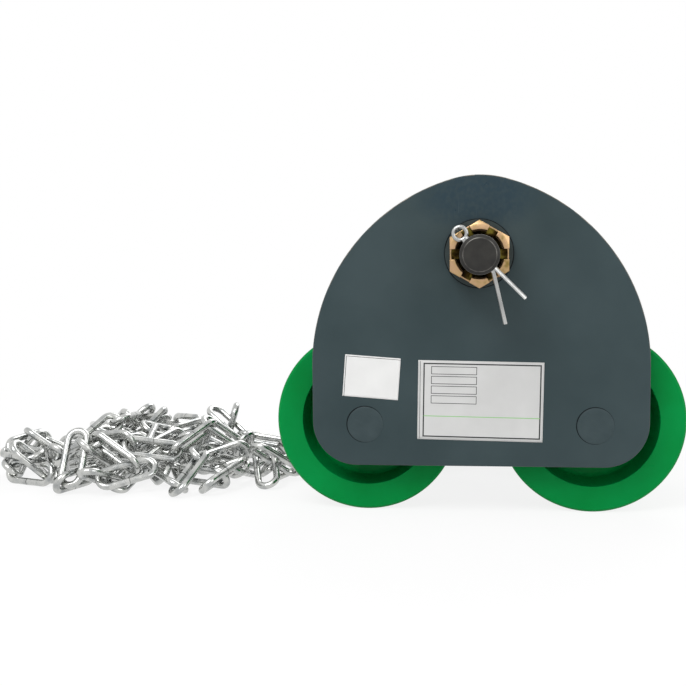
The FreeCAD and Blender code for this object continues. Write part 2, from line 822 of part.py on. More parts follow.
def steady(vector, size=1):
    """The vector rounded to a fine share of a size, so that the heap comes out alike at any scale."""
    return V(*(round(value / size, round_digit_count) * size for value in vector))


class Link:
    """A link's place: its middle, its direction, the way across it and the points on its wire."""

    def __init__(self, centre, along, across):
        self.centre = centre = steady(centre, wire_dia)
        self.along = steady(along.normalize()).normalize()
        self.normal = self.along.cross(steady(across.normalize())).normalize()
        self.across = self.normal.cross(self.along)
        self.wire = [tuple(centre + self.along * a + self.across * b) for a, b in OVAL]

    def clears(self, other):
        """True if no point of this wire comes too near to the other link's centre line."""
        need = (wire_dia + link_gap / 2) ** 2
        ox, oy, oz = other.centre
        ax, ay, az = other.along
        bx, by, bz = other.across
        nx, ny, nz = other.normal
        for x, y, z in self.wire:
            x -= ox
            y -= oy
            z -= oz
            past = abs(x * ax + y * ay + z * az) - link_straight
            level = abs(x * bx + y * by + z * bz)
            if past > 0:
                level = math.sqrt(past * past + level * level)
            level -= link_radius
            off = x * nx + y * ny + z * nz
            if level * level + off * off < need:
                return False
        return True

    def under(self, other):
        """True if the other link lies over this one, so that it couldn't have dropped into its place."""
        away = other.centre - self.centre
        return away.z > 0 and math.hypot(away.x, away.y) < link_width

    def near(self, links):
        """The links that are close enough to touch this one."""
        reach = 2 * link_half + wire_dia
        return [other for other in links if (other.centre - self.centre).Length < reach]


def fits_heap(link):
    """True if the link lies inside the heap's outline, above the floor and outside the wheels."""
    share_x = (link.centre.x - heap_x) / heap_half_length
    share_y = (link.centre.y - heap_y) / heap_half_depth
    if math.hypot(share_x, share_y) > 1:
        return False
    wire = wire_dia / 2
    keep_off = flange_dia / 2 + wire + link_gap
    for x, y, z in link.wire:
        if z < floor_z + wire:
            return False
        if math.hypot(x + axle_x, z - axle_z) < keep_off:
            return False
    return True


def heap_target(run):
    """Place on the floor plan that the chain heads for after a run of its length."""
    lap = math.pi * (heap_half_length + heap_half_depth) * heap_lap_stretch_share
    laps = run / lap
    index = int(laps) % len(heap_lap_shares)
    blend = laps - int(laps)
    share = heap_lap_shares[index] * (1 - blend)
    share += heap_lap_shares[(index + 1) % len(heap_lap_shares)] * blend
    angle = 2 * math.pi * laps
    return V(heap_x + heap_half_length * share * math.cos(angle),
             heap_y + heap_half_depth * share * math.sin(angle), 0)


def hooked(last, slide, twist, fold, swing):
    """A link hooked through the end of the last one.

    It touches at an angle of slide round the last link's end, its wire twisted there, folds about
    that wire and swings so that it touches at an angle of swing round its own end."""
    reach = last.along * math.cos(slide) + last.across * math.sin(slide)
    tangent = last.across * math.cos(slide) - last.along * math.sin(slide)
    touch = last.centre + last.along * link_straight + reach * (link_radius - wire_dia - link_gap)
    wire = last.normal * math.cos(twist) + tangent * math.sin(twist)
    inward = reach * math.cos(fold) + wire.cross(reach) * math.sin(fold)
    along = inward * math.cos(swing) + wire * math.sin(swing)
    across = wire * math.cos(swing) - inward * math.sin(swing)
    return Link(touch + inward * link_radius + along * link_straight, along, across)


def next_link(last, run, dice, placed):
    """The lowest of many trial links that clears the rest and heads for the target."""
    target = heap_target(run)
    best = None
    best_score = None
    for trial in range(try_count):
        link = hooked(last, *(math.radians(dice.uniform(-limit, limit)) for limit in link_angles))
        flat_gap = math.hypot(link.centre.x - target.x, link.centre.y - target.y)
        lie = abs(link.normal.z) - math.sqrt(0.5)
        score = height_weight * (link.centre.z - floor_z) + target_weight * flat_gap
        score += lie_weight * link_width * lie * lie
        if best_score is not None and score >= best_score:
            continue
        if not fits_heap(link):
            continue
        near = link.near(placed)
        if any(link.under(other) for other in near if other is not last):
            continue
        if all(link.clears(other) and other.clears(link) for other in near):
            best = link
            best_score = score
    return best


def laid_chain(dice):
    """Links laid one after the other into the heap, some taken back where the chain can't go on."""
    start = heap_target(0)
    rest_height = wire_dia / 2 + link_radius * math.sqrt(0.5) + link_gap
    placed = [Link(V(start.x, start.y, floor_z + rest_height), V(ACROSS), ALONG + UP)]
    back = 1
    longest = 1
    for step in range(link_count * patience_count):
        if len(placed) >= link_count:
            break
        link = next_link(placed[-1], len(placed) * link_inside, dice, placed)
        if link is not None:
            placed.append(link)
            if len(placed) > longest:
                longest = len(placed)
                back = 1
        else:
            back = back % step_back_count + 1
            del placed[max(1, len(placed) - back):]
    return placed


def settle(links, dice):
    """Lets the heap sink: each link tries a small slip, drop and turn, and keeps it if it stays clear."""
    for number in range(settle_count):
        size = 1 - (1 - settle_last_share) * number / settle_count
        for index, link in enumerate(links):
            axis = V(dice.gauss(0, 1), dice.gauss(0, 1), dice.gauss(0, 1))
            turn = FreeCAD.Rotation(axis, dice.gauss(0, settle_angle * size))
            shift = V(dice.gauss(0, settle_slip * size), dice.gauss(0, settle_slip * size),
                      -abs(dice.gauss(0, settle_drop * size)))
            trial = Link(link.centre + shift, turn.multVec(link.along), turn.multVec(link.across))
            if not fits_heap(trial):
                continue
            near = [other for other in trial.near(links) if other is not link]
            if all(trial.clears(other) and other.clears(trial) for other in near):
                links[index] = trial


def chain_nodes():
    """The links as groups of separate solids, in the order of the chain."""
    pattern = link_solid()
    dice = random.Random(heap_seed)
    links = laid_chain(dice)
    print("links laid", len(links), "up to", max(link.centre.z for link in links) - floor_z)
    settle(links, dice)
    print("settled to", max(link.centre.z for link in links) - floor_z)
    nodes = []
    for group in range(chain_node_count):
        first = group * len(links) // chain_node_count
        after = (group + 1) * len(links) // chain_node_count
        solids = []
        for link in links[first:after]:
            turn = FreeCAD.Matrix(link.along.x, -link.normal.x, link.across.x, link.centre.x,
                                  link.along.y, -link.normal.y, link.across.y, link.centre.y,
                                  link.along.z, -link.normal.z, link.across.z, link.centre.z,
                                  0, 0, 0, 1)
            copy = pattern.copy()
            copy.Placement = FreeCAD.Placement(turn)
            solids.append(copy)
        nodes.append(Part.makeCompound(solids))
    return nodes


def all_parts():
    """Every node's name with its shape."""
    parts = {}
    side_names = {FRONT: "front", REAR: "rear"}
    end_names = {LEFT: "left", RIGHT: "right"}
    axle_rings = []
    inner_rings = []
    for side in (FRONT, REAR):
        name = side_names[side]
        parts[name + "_side_plate"] = side_plate(side)
        parts[name + "_slotted_nut"] = slotted_nut(side)
        parts[name + "_bolt_washer"] = ring(bolt_dia, washer_dia, plate_out, nut_in, 0, bolt_z, side)
        parts[name + "_split_pin"] = split_pin(side)
        parts[name + "_spacers"] = spacer_stack(side)
        for end in (LEFT, RIGHT):
            corner = name + "_" + end_names[end]
            parts[corner + "_axle"] = axle(side, end)
            parts[corner + "_wheel"] = wheel(side, end)
            parts[corner + "_bearing_outer_ring"] = outer_ring(side, end)
            parts[corner + "_bearing_balls"] = balls(side, end)
            hub_groove = bearing_dia + 2 * ring_groove_depth
            parts[corner + "_hub_ring"] = retaining_ring(hub_groove - 2 * ring_width, hub_groove, ring_in,
                                                         end * axle_x, axle_z, side, FULL_TURN / 4)
            axle_groove = bearing_bore - 2 * ring_groove_depth
            axle_rings.append(retaining_ring(axle_groove, axle_groove + 2 * ring_width, ring_in,
                                             end * axle_x, axle_z, side, FULL_TURN / 4))
            inner_rings.append(inner_ring(side, end))
    parts["axle_rings"] = Part.makeCompound(axle_rings)
    parts["bearing_inner_rings"] = Part.makeCompound(inner_rings)
    parts["load_bolt"] = load_bolt()
    parts["hanger_plate"] = hanger()
    parts["drive_pinion"] = pinion()
    parts["drive_shaft"] = drive_shaft()
    parts["pinion_key"] = key_block(pinion_key_in, pinion_key_out)
    shaft_groove = pinion_bore - 2 * ring_groove_depth
    parts["pinion_ring"] = retaining_ring(shaft_groove, shaft_groove + 2 * ring_width, pinion_ring_in,
                                          0, pinion_z, REAR, FULL_TURN / 4)
    parts["shaft_tube"] = shaft_tube()
    parts["shaft_bushes"] = shaft_bushes()
    parts["hand_chain_wheel"] = chain_wheel()
    parts["chain_wheel_key"] = key_block(wheel_key_in, wheel_key_out)
    parts["chain_wheel_washer"] = ring(shaft_thread_dia, end_washer_dia, hub_out, end_nut_in, 0, pinion_z)
    parts["chain_wheel_nut"] = chain_wheel_nut()
    parts["chain_guide"] = chain_guide()
    parts["chain_guide_screws"] = guide_screws()
    for index, shape in enumerate(chain_nodes()):
        parts["hand_chain_%d" % (index + 1)] = shape
    return parts


os.makedirs("parts", exist_ok=True)
for node, shape in all_parts().items():
    for solid in shape.Solids:
        if not solid.isValid():
            print("not valid:", node)
    shape.exportStep("parts/" + node + ".step")
    print(node, len(shape.Solids), round(shape.Volume))
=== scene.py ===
# %% [markdown]
# # Dressing a geared beam trolley
# The trolley comes in as CAD solids, one object for each real piece, and every one of them is already in
# its place. This lesson gives each piece the finish of the real one, adds the small things that a solid
# leaves out, and sets up a pale studio with the camera of the photograph. All lengths are in metres.

import json
import math

import bmesh
import bpy
import numpy as np
from mathutils import Matrix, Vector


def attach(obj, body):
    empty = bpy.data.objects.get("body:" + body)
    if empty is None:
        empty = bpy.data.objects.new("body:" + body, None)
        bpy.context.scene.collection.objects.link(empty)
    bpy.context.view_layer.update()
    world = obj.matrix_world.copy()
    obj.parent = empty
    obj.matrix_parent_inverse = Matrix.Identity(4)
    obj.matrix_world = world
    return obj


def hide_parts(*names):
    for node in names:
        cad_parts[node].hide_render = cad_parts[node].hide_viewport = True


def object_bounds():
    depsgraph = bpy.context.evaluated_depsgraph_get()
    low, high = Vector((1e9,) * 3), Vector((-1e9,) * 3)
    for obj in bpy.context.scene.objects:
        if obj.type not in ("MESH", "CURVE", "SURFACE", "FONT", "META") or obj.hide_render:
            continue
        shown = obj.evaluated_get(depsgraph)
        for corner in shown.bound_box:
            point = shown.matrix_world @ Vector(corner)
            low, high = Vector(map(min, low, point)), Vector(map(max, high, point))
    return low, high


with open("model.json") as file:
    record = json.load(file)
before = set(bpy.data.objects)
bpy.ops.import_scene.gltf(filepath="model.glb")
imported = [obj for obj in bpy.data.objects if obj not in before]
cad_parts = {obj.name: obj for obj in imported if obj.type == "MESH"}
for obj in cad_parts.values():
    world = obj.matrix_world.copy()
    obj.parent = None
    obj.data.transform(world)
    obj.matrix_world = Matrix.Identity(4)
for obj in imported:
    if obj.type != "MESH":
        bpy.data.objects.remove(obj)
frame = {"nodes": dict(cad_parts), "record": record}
cad_low, cad_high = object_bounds()
nodes = frame["nodes"]
body_of = {node: body for body, group in frame["record"]["behaviour"]["bodies"].items() for node in group}
scene = bpy.context.scene
MM = 0.001
print(f"{len(nodes)} solids from {[round(v, 3) for v in cad_low]} to {[round(v, 3) for v in cad_high]}")

# %% [markdown]
# The camera comes first, because everything after is judged through it. It could be set by eye, but its
# place and turn were found by matching a dozen points of the trolley, such as the axle ends and the corners
# of the plate, with the same points of the photograph, so that the two can be laid over each other. A
# camera's matrix is three directions and a place: right, up and backwards.

# %% Camera of the photograph
CAMERA_AT = (-0.007, -0.804, 0.074)
YAW, PITCH, ROLL = math.radians(-6.36), math.radians(5.45), math.radians(0.61)
SENSOR_MM = 36.0
FOCUS_PIXELS, FRAME_PIXELS = 1125.0, 686.0


def placed(side, top, back, at):
    """The matrix of a thing at a place, whose own X, Y and Z run along the side, top and back directions."""
    return Matrix([[side[i], top[i], back[i], at[i]] for i in range(3)] + [[0, 0, 0, 1]])


forward = np.array([math.cos(PITCH) * math.sin(YAW), math.cos(PITCH) * math.cos(YAW), -math.sin(PITCH)])
level_right = np.array([math.cos(YAW), -math.sin(YAW), 0.0])
level_up = np.cross(level_right, forward)
right = math.cos(ROLL) * level_right - math.sin(ROLL) * level_up
up = math.sin(ROLL) * level_right + math.cos(ROLL) * level_up
camera_data = bpy.data.cameras.new("photo_camera")
camera_data.sensor_width = SENSOR_MM
camera_data.lens = SENSOR_MM * (FOCUS_PIXELS / FRAME_PIXELS)
camera = bpy.data.objects.new("photo_camera", camera_data)
camera.matrix_world = placed(right, up, -forward, CAMERA_AT)
scene.collection.objects.link(camera)
scene.camera = camera
print(f"camera with a {camera_data.lens:.1f} mm lens at {CAMERA_AT}")

# %% [markdown]
# Materials and the sky are trees of nodes, small boxes that pass numbers and colours along wires. They
# could be drawn by hand in the node editor. Here a few helpers write them: one adds a box, one does a sum,
# one stretches a range of numbers, one mixes two shaders into the output, and one tells who is looking.

# %% Helpers for node trees


def new_node(tree, kind, **settings):
    """A new node of a kind, with its plain settings."""
    node = tree.nodes.new(kind)
    for key, value in settings.items():
        setattr(node, key, value)
    return node


def calc(tree, operation, *values, **settings):
    """One sum on sockets or plain numbers."""
    node = new_node(tree, "ShaderNodeMath", operation=operation, **settings)
    for place, value in zip(node.inputs, values):
        if isinstance(value, bpy.types.NodeSocket):
            tree.links.new(value, place)
        else:
            place.default_value = value
    return node.outputs[0]


def stretched(tree, source, low, high, span, curve="LINEAR"):
    """A span of the source stretched to run from low to high, and held at its ends."""
    node = new_node(tree, "ShaderNodeMapRange", interpolation_type=curve)
    for key, value in zip(("From Min", "From Max", "To Min", "To Max"), (*span, low, high)):
        node.inputs[key].default_value = value
    tree.links.new(source, node.inputs["Value"])
    return node.outputs["Result"]


def mixed_output(tree, kind, share, first, second):
    """An output of a kind that shows the first shader, and the second one by its share."""
    mix = new_node(tree, "ShaderNodeMixShader")
    output = new_node(tree, kind)
    tree.links.new(share, mix.inputs["Fac"])
    tree.links.new(first.outputs[0], mix.inputs[1])
    tree.links.new(second.outputs[0], mix.inputs[2])
    tree.links.new(mix.outputs[0], output.inputs["Surface"])


def looked_at(tree):
    """One where a camera, mirror or glass ray arrives, and nought for the light that falls on things."""
    path = new_node(tree, "ShaderNodeLightPath")
    total = path.outputs["Is Camera Ray"]
    for name in ("Is Glossy Ray", "Is Transmission Ray"):
        total = calc(tree, "ADD", total, path.outputs[name], use_clamp=True)
    return total


print("node helpers are ready")

# %% [markdown]
# The studio is a pale floor under an even white sky, with three large soft lamps. The floor and the sky
# are white where the camera or a mirror looks at them, which Light Path tells, while the light that falls
# on the trolley stays at a plain level. One could use a very bright lamp instead, but that would bleach
# the paint.

# %% Sky
WHITE = (1.0, 1.0, 1.0, 1.0)
SKY_STRENGTH = 0.55

scene.view_settings.view_transform = "Standard"
world = bpy.data.worlds.new("studio_sky")
scene.world = world
world.use_nodes = True
sky = world.node_tree
sky.nodes.clear()
sky_light, sky_seen = new_node(sky, "ShaderNodeBackground"), new_node(sky, "ShaderNodeBackground")
sky_light.inputs["Strength"].default_value = SKY_STRENGTH
sky_light.inputs["Color"].default_value = WHITE
sky_seen.inputs["Color"].default_value = WHITE
mixed_output(sky, "ShaderNodeOutputWorld", looked_at(sky), sky_light, sky_seen)
print("white sky that lights at a strength of", SKY_STRENGTH)

# %% [markdown]
# The floor is one square sheet at the height of the lowest solid. Near the trolley it keeps a share of its
# own shading, so that a soft shadow grounds it; further away it turns wholly white, so that no horizon
# shows. A plain white sheet would go grey away from the lamps.

# %% Floor
FLOOR_GREY = (0.9, 0.9, 0.9, 1.0)
FLOOR_HALF = 6.0
FLOOR_GLOW_SHARE = 0.85
FADE_SPAN = (0.3, 0.75)

floor_at = cad_low[2]
floor_mesh = bpy.data.meshes.new("studio_floor")
floor_mesh.from_pydata([(x * FLOOR_HALF, y * FLOOR_HALF, floor_at)
                        for x, y in ((-1, -1), (1, -1), (1, 1), (-1, 1))], [], [(0, 1, 2, 3)])
floor = bpy.data.objects.new("studio_floor", floor_mesh)
scene.collection.objects.link(floor)
floor_paint = bpy.data.materials.new("floor_paper")
floor_paint.use_nodes = True
paper = floor_paint.node_tree
paper.nodes.clear()
paper_place = new_node(paper, "ShaderNodeTexCoord")
paper_far = new_node(paper, "ShaderNodeVectorMath", operation="LENGTH")
paper.links.new(paper_place.outputs["Object"], paper_far.inputs[0])
paper_fade = stretched(paper, paper_far.outputs["Value"], FLOOR_GLOW_SHARE, 1.0, FADE_SPAN,
                       curve="SMOOTHSTEP")
paper_dull, paper_glow = new_node(paper, "ShaderNodeBsdfDiffuse"), new_node(paper, "ShaderNodeEmission")
paper_dull.inputs["Color"].default_value = FLOOR_GREY
paper_glow.inputs["Color"].default_value = WHITE
glow_share = calc(paper, "MULTIPLY", looked_at(paper), paper_fade)
mixed_output(paper, "ShaderNodeOutputMaterial", glow_share, paper_dull, paper_glow)
floor_mesh.materials.append(floor_paint)
print("floor at", round(floor_at, 4))

# %% [markdown]
# The lamps are large squares: a key lamp high on the camera's left, a weak one on its right that opens the
# shadows, and one behind for the far side. Small lamps would draw hard shadows and tiny hot spots on the
# platings, and the photograph has neither.

# %% Lamps
TRUE_UP = (0.0, 0.0, 1.0)
MIDDLE, REAR_MIDDLE = (0.0, 0.0, 0.0), (0.0, 0.1, 0.0)


def soft_lamp(name, place, target, size, watts):
    """A square area lamp at a place, turned so that its face looks at a target point."""
    data = bpy.data.lights.new(name, "AREA")
    data.size = size
    data.energy = watts
    lamp = bpy.data.objects.new(name, data)
    away = np.array(place) - np.array(target)
    away = away / np.linalg.norm(away)
    side = np.cross(TRUE_UP, away)
    side = side / np.linalg.norm(side)
    lamp.matrix_world = placed(side, np.cross(away, side), away, place)
    scene.collection.objects.link(lamp)


soft_lamp("key_lamp", (-0.7, -1.3, 1.5), MIDDLE, size=1.0, watts=26.0)
soft_lamp("fill_lamp", (1.3, -1.0, 0.7), MIDDLE, size=1.2, watts=8.0)
soft_lamp("back_lamp", (0.3, 1.4, 1.2), REAR_MIDDLE, size=1.2, watts=14.0)
print("three soft lamps")

# %% [markdown]
# The real paints and platings aren't one flat colour: paint has a fine orange peel, plating clouds and
# changes hue, and steel is rubbed brighter in places. Pictures could show that, but then every piece would
# have to be unwrapped. These helpers make it from noise on Object coordinates, which are metres on the
# piece itself, so that a pattern keeps its real size on every piece and moves with it.

# %% Helpers for patterns
ONES, NOUGHTS = (1.0, 1.0, 1.0), (0.0, 0.0, 0.0)
NOISE_SPAN = (0.3, 0.7)


class Patterns:
    """A material whose methods make numbers that vary over a piece."""

    def __init__(self, name):
        self.material = bpy.data.materials.new(name)
        self.material.use_nodes = True
        self.tree = self.material.node_tree
        self.place = self.add("ShaderNodeTexCoord").outputs["Object"]

    def add(self, kind, **settings):
        """A new node with its plain settings."""
        return new_node(self.tree, kind, **settings)

    def calc(self, operation, *values):
        """One sum on sockets or plain numbers."""
        return calc(self.tree, operation, *values)

    def spread(self, source, low, high, span=NOISE_SPAN):
        """A span of the source, by default the usual one of noise, stretched to run from low to high."""
        return stretched(self.tree, source, low, high, span)

    def mapped(self, scale=ONES, shift=NOUGHTS, turn=NOUGHTS, kind="POINT"):
        """Object coordinates scaled, then turned, then shifted; the kind TEXTURE undoes such a change."""
        node = self.add("ShaderNodeMapping", vector_type=kind)
        node.inputs["Scale"].default_value = scale
        node.inputs["Rotation"].default_value = turn
        node.inputs["Location"].default_value = shift
        self.tree.links.new(self.place, node.inputs["Vector"])
        return node.outputs[0]

    def axis(self, name, source=None):
        """One of X, Y and Z of the Object coordinates, or of another source."""
        parts = self.add("ShaderNodeSeparateXYZ")
        self.tree.links.new(self.place if source is None else source, parts.inputs[0])
        return parts.outputs[name]

    def noise(self, grain, detail=3.0, stretch=ONES, source=None):
        """Cloudy noise with features about grain metres across, stretched along an axis if asked."""
        cloud = self.add("ShaderNodeTexNoise")
        cloud.inputs["Scale"].default_value = 1.0 / grain
        cloud.inputs["Detail"].default_value = detail
        self.tree.links.new(self.mapped(scale=stretch) if source is None else source, cloud.inputs["Vector"])
        return cloud.outputs["Fac"]

    def patch(self, centre, reach, soft=0.5):
        """One inside an egg shape round a centre, fading to nought at its reach along each axis."""
        scale = [1.0 / r for r in reach]
        place = self.mapped(scale=scale, shift=[-c * s for c, s in zip(centre, scale)])
        length = self.add("ShaderNodeVectorMath", operation="LENGTH")
        self.tree.links.new(place, length.inputs[0])
        return self.spread(length.outputs["Value"], 1.0, 0.0, span=(1.0 - soft, 1.0))


print("pattern helpers are ready")

# %% [markdown]
# A finish is a material with one shader, and patterns feed that shader's colour, roughness and normal.
# Colours are picked on a screen, on a scale of 0 to 255, and a shader works in linear light, so one helper
# turns the first into the second. Bumps that lie over each other are chained, the fine ones last.

# %% Helpers for finishes
MIX_COLOURS, MIX_RESULT = (6, 7), 2


def srgb(red, green, blue):
    """A screen colour from 0 to 255 as the linear colour that a shader works in, by the sRGB curve."""
    shares = np.array([red, green, blue]) / 255.0
    linear = np.where(shares <= 0.04045, shares / 12.92, ((shares + 0.055) / 1.055) ** 2.4)
    return (*[float(v) for v in linear], 1.0)


class Finish(Patterns):
    """A material with one shader. Its methods add nodes that feed colour, roughness or bump."""

    def __init__(self, name, colour, metallic, roughness, shine=0.5):
        super().__init__(name)
        self.material.diffuse_color = srgb(*colour)
        self.shader = self.tree.nodes["Principled BSDF"]
        self.shader.inputs["Base Color"].default_value = srgb(*colour)
        self.shader.inputs["Metallic"].default_value = metallic
        self.shader.inputs["Roughness"].default_value = roughness
        self.shader.inputs["Specular IOR Level"].default_value = shine
        self.relief = None

    def ramp(self, source, *stops):
        """A row of colours that the source picks from, each given as (place, colour)."""
        node = self.add("ShaderNodeValToRGB")
        line = node.color_ramp.elements
        while len(line) < len(stops):
            line.new(0.5)
        for element, (place, colour) in zip(line, stops):
            element.position = place
            element.color = srgb(*colour)
        self.tree.links.new(source, node.inputs["Fac"])
        return node.outputs["Color"]

    def mix(self, share, first, second):
        """Two colours mixed by a share; each may be a colour or a socket."""
        node = self.add("ShaderNodeMix", data_type="RGBA")
        self.tree.links.new(share, node.inputs["Factor"])
        for place, value in zip(MIX_COLOURS, (first, second)):
            if isinstance(value, bpy.types.NodeSocket):
                self.tree.links.new(value, node.inputs[place])
            else:
                node.inputs[place].default_value = srgb(*value)
        return node.outputs[MIX_RESULT]

    def feed(self, socket, source):
        """The source goes into one of the shader's sockets."""
        self.tree.links.new(source, self.shader.inputs[socket])

    def clouds(self, grain, first, second, detail=3.0, span=NOISE_SPAN):
        """The base colour drifts between two colours, over a span of the noise."""
        self.feed("Base Color", self.ramp(self.noise(grain, detail), (span[0], first), (span[1], second)))

    def mottle(self, grain, low, high, stretch=ONES):
        """The roughness drifts between two values."""
        self.feed("Roughness", self.spread(self.noise(grain, stretch=stretch), low, high))

    def bump(self, source, depth):
        """The source as a height of that many metres, laid over the bumps before it."""
        node = self.add("ShaderNodeBump")
        node.inputs["Strength"].default_value = 1.0
        node.inputs["Distance"].default_value = depth
        self.tree.links.new(source, node.inputs["Height"])
        if self.relief is not None:
            self.tree.links.new(self.relief, node.inputs["Normal"])
        self.relief = node.outputs["Normal"]
        self.feed("Normal", self.relief)


print("finish helpers are ready")

# %% [markdown]
# The side plates are sprayed in a satin slate grey. Sprayed paint is even in colour with slow clouds, and
# its surface has an orange peel: shallow waves one or two millimetres across that break up a reflection.
# The paint is rubbed smooth and a little darker above the bolt, where other plates leaned on it, and hair
# scratches run there. A flat colour would look like plastic, so all this is made from noise and patches.

# %% Slate paint of the side plates
ANY_DEPTH = 10.0
RUBBED_AT, RUBBED_REACH = (0.0, 0.0, 97.0 * MM), (44.0 * MM, ANY_DEPTH, 23.0 * MM)
HAIRS_AT, HAIRS_REACH = (0.0, 0.0, 95.0 * MM), (22.0 * MM, ANY_DEPTH, 18.0 * MM)
RUBBED_SHARE, RUBBED_GLOSS, HAIR_SHARE = 0.9, 0.12, 0.25

slate = Finish("slate_paint", (46, 61, 64), metallic=0.0, roughness=0.42, shine=0.25)
slate_clouds = slate.ramp(slate.noise(50.0 * MM), (0.3, (41, 56, 59)), (0.7, (51, 65, 68)))
specks = slate.noise(2.5 * MM, detail=6.0, stretch=(1.0, 1.0, 0.8))
rubbed = slate.calc("MULTIPLY", slate.patch(RUBBED_AT, RUBBED_REACH),
                    slate.spread(specks, 0.5, 1.0, span=(0.34, 0.58)))
strokes = slate.noise(1.1 * MM, detail=0.0, stretch=(1.0, 1.0, 0.07))
hairs = slate.calc("MULTIPLY", slate.patch(HAIRS_AT, HAIRS_REACH, soft=0.7),
                   slate.spread(strokes, 0.0, 1.0, span=(0.74, 0.78)))
slate_colour = slate.mix(slate.calc("MULTIPLY", rubbed, RUBBED_SHARE), slate_clouds, (31, 51, 61))
slate_colour = slate.mix(slate.calc("MULTIPLY", hairs, HAIR_SHARE), slate_colour, (96, 110, 112))
slate.feed("Base Color", slate_colour)
slate_rough = slate.spread(slate.noise(12.0 * MM), 0.38, 0.5)
slate.feed("Roughness", slate.calc("SUBTRACT", slate_rough, slate.calc("MULTIPLY", rubbed, RUBBED_GLOSS)))
slate.bump(slate.noise(1.6 * MM, detail=1.0), 0.03 * MM)
slate.bump(slate.noise(0.3 * MM, detail=1.0), 0.006 * MM)
print("slate paint of", len(slate.tree.nodes), "nodes")

# %% [markdown]
# Along the cut edges of the plates the paint is thin and rubbed through to a brownish primer. It could be
# painted on by hand, but the edge itself will be a narrow rounded strip, and a finish of its own on that
# strip follows every edge. Noise decides where slate is left, and the light wear colour fades out towards
# the bottom of the plates.

# %% Worn edge of the plates
LEAST_WEAR = 0.12
WEAR_SPAN_Z = (-10.0 * MM, 70.0 * MM)

worn = Finish("worn_paint_edge", (104, 102, 94), metallic=0.0, roughness=0.5, shine=0.3)
wear = worn.ramp(worn.noise(7.0 * MM, detail=5.0), (0.36, (52, 66, 69)), (0.52, (104, 99, 90)),
                 (0.72, (134, 127, 116)))
wear_share = worn.spread(worn.axis("Z"), LEAST_WEAR, 1.0, span=WEAR_SPAN_Z)
worn.feed("Base Color", worn.mix(wear_share, (48, 62, 65), wear))
worn.mottle(2.0 * MM, 0.4, 0.6)
print("edge wear fades out from", WEAR_SPAN_Z[1], "down to", WEAR_SPAN_Z[0])

# %% [markdown]
# The wheels are sprayed too, in a strong even green. It could be the recipe of the plates with another
# colour, but this paint is smoother: its peel is shallower, and nothing has rubbed it. So slow clouds, a
# lower roughness and one bump are enough.

# %% Green paint of the wheels
green = Finish("green_paint", (0, 127, 57), metallic=0.0, roughness=0.32, shine=0.06)
green.clouds(30.0 * MM, (0, 123, 54), (1, 133, 63))
green.mottle(10.0 * MM, 0.27, 0.38)
green.bump(green.noise(1.4 * MM, detail=1.0), 0.02 * MM)
print("green paint of", len(green.tree.nodes), "nodes")

# %% [markdown]
# The platings are metals, so their colour is the colour of their reflection. Yellow zinc is a passivated
# plating whose film is so thin that it shows faint rainbow patches; one flat colour would look like brass,
# and a ramp from olive over straw and peach gives the patches. Down in the nut's slots, near the bolt and
# from a millimetre behind the crown's face, a darker brown and olive is painted on as painted shade, for
# the shade that falls in the slots. Bright zinc on the chain is a clearer white.

# %% Platings
BOLT_Z = 62.0 * MM
SLOT_TOP_Y, SLOT_REACH = 117.0 * MM, 17.4 * MM

yellow = Finish("yellow_zinc_plating", (186, 158, 118), metallic=1.0, roughness=0.34)
yellow_clouds = yellow.noise(6.0 * MM, detail=4.0, stretch=(-1.0, 1.0, 1.0))
yellow_film = yellow.ramp(yellow_clouds, (0.25, (134, 114, 64)), (0.42, (184, 154, 112)),
                          (0.58, (190, 156, 122)), (0.75, (150, 138, 86)))
# Painted shade: darker colours for the shade down in the nut's slots, laid on by the mask below.
slot_painted_shade = yellow.ramp(yellow.noise(7.0 * MM), (0.42, (24, 17, 8)), (0.54, (56, 43, 17)),
                        (0.66, (122, 110, 46)))
near_bolt = yellow.patch((0.0, 0.0, BOLT_Z), (SLOT_REACH, ANY_DEPTH, SLOT_REACH), soft=0.02)
behind_face = yellow.calc("LESS_THAN", yellow.calc("ABSOLUTE", yellow.axis("Y")), SLOT_TOP_Y)
slot_shade_mask = yellow.calc("MULTIPLY", near_bolt, behind_face)
yellow.feed("Base Color", yellow.mix(slot_shade_mask, yellow_film, slot_painted_shade))
yellow.mottle(2.0 * MM, 0.28, 0.44)
yellow.bump(yellow.noise(0.6 * MM, detail=2.0), 0.01 * MM)

zinc = Finish("bright_zinc_plating", (186, 188, 187), metallic=1.0, roughness=0.2)
zinc.clouds(7.0 * MM, (152, 155, 155), (196, 197, 194), span=(0.3, 0.6))
zinc.mottle(3.0 * MM, 0.13, 0.3)
zinc.bump(zinc.noise(1.1 * MM, detail=2.0), 0.012 * MM)
print("yellow zinc of", len(yellow.tree.nodes), "nodes and bright zinc of", len(zinc.tree.nodes))

# %% [markdown]
# The bolt and the hanger are blackened steel, which is nearly matt, and their edges are rubbed bare. The
# washers and the chain wheel are painted dark, the wheel over a rough casting whose grain shows through.
# The grain could be displaced geometry, but deeper bumps are enough at this size. The rim of a washer is
# nearly black: a painted shadow for the shade in the gap round the washer.

# %% Black steel, dark paints and rubbed edges
black = Finish("black_oxide", (42, 41, 39), metallic=0.3, roughness=0.5, shine=0.3)
black.clouds(8.0 * MM, (35, 34, 33), (48, 47, 44), detail=4.0)
black.mottle(3.0 * MM, 0.42, 0.6)
black.bump(black.noise(0.5 * MM, detail=2.0), 0.01 * MM)

dark = Finish("dark_washer_paint", (40, 51, 53), metallic=0.1, roughness=0.5, shine=0.3)
dark.clouds(6.0 * MM, (35, 46, 48), (46, 58, 60), detail=4.0)
dark.mottle(3.0 * MM, 0.42, 0.58)

# Painted shadow: the washer's rim strip is nearly black for the shade round the washer.
rim = Finish("washer_rim", (10, 13, 14), metallic=0.0, roughness=0.6, shine=0.05)
rim.clouds(8.0 * MM, (5, 7, 8), (34, 40, 42), detail=4.0, span=(0.4, 0.7))

